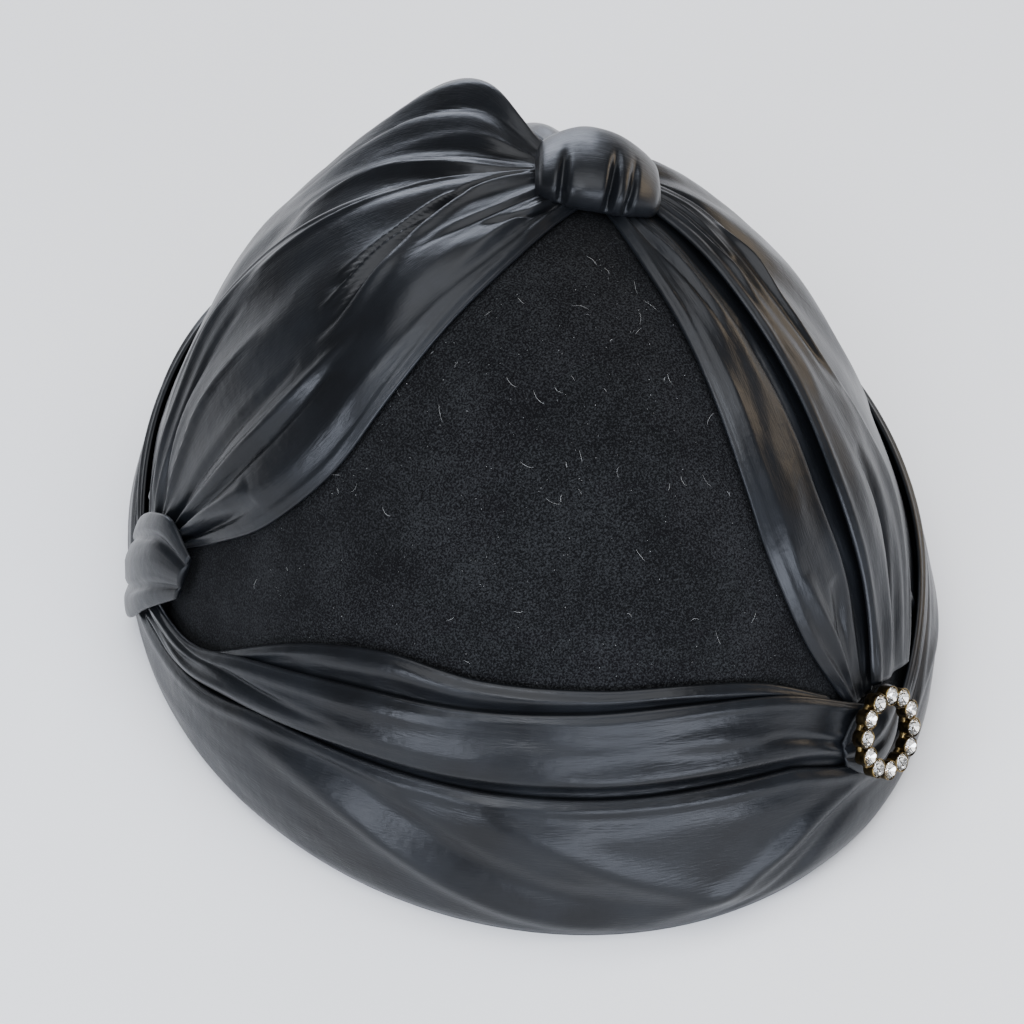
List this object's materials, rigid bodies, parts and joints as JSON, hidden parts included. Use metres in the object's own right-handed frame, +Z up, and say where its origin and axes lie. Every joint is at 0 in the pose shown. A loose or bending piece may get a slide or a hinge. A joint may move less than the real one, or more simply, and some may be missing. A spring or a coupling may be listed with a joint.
{
  "type": "draped turban hat",
  "caption": "Hollow velvet crown wrapped in black satin drapes and bands, gathered at a top knot, a side knot and a round stone-set ring; opens underneath.",
  "frame": {"origin": "middle of the hat's plan outline, on the surface that the rim rests on", "axes": "+Z up through the crown, -Y towards the front of the hat, +X towards the side that the stone ring sits on"},
  "size_m": [0.1772, 0.2102, 0.1225],
  "materials": {
    "satin": "black satin with a broad soft sheen",
    "velvet": "matt black short-pile velvet with stray lint",
    "setting": "dark plated brass, slightly worn",
    "rhinestone": "clear faceted paste stone"
  },
  "bodies": {
    "root": {"velvet_crown": "velvet", "lower_band": "satin", "middle_band": "satin", "upper_fold": "satin", "rear_band": "satin", "left_drape": "satin", "left_rear_drape": "satin", "back_drape": "satin", "right_rear_drape": "satin", "right_outer_drape": "satin", "right_inner_drape": "satin", "top_knot": "satin", "side_knot": "satin", "ring_tab": "satin", "ring_setting": "setting", "stone_01": "rhinestone", "stone_02": "rhinestone", "stone_03": "rhinestone", "stone_04": "rhinestone", "stone_05": "rhinestone", "stone_06": "rhinestone", "stone_07": "rhinestone", "stone_08": "rhinestone", "stone_09": "rhinestone", "stone_10": "rhinestone", "stone_11": "rhinestone", "stone_12": "rhinestone"}
  },
  "joints": []
}
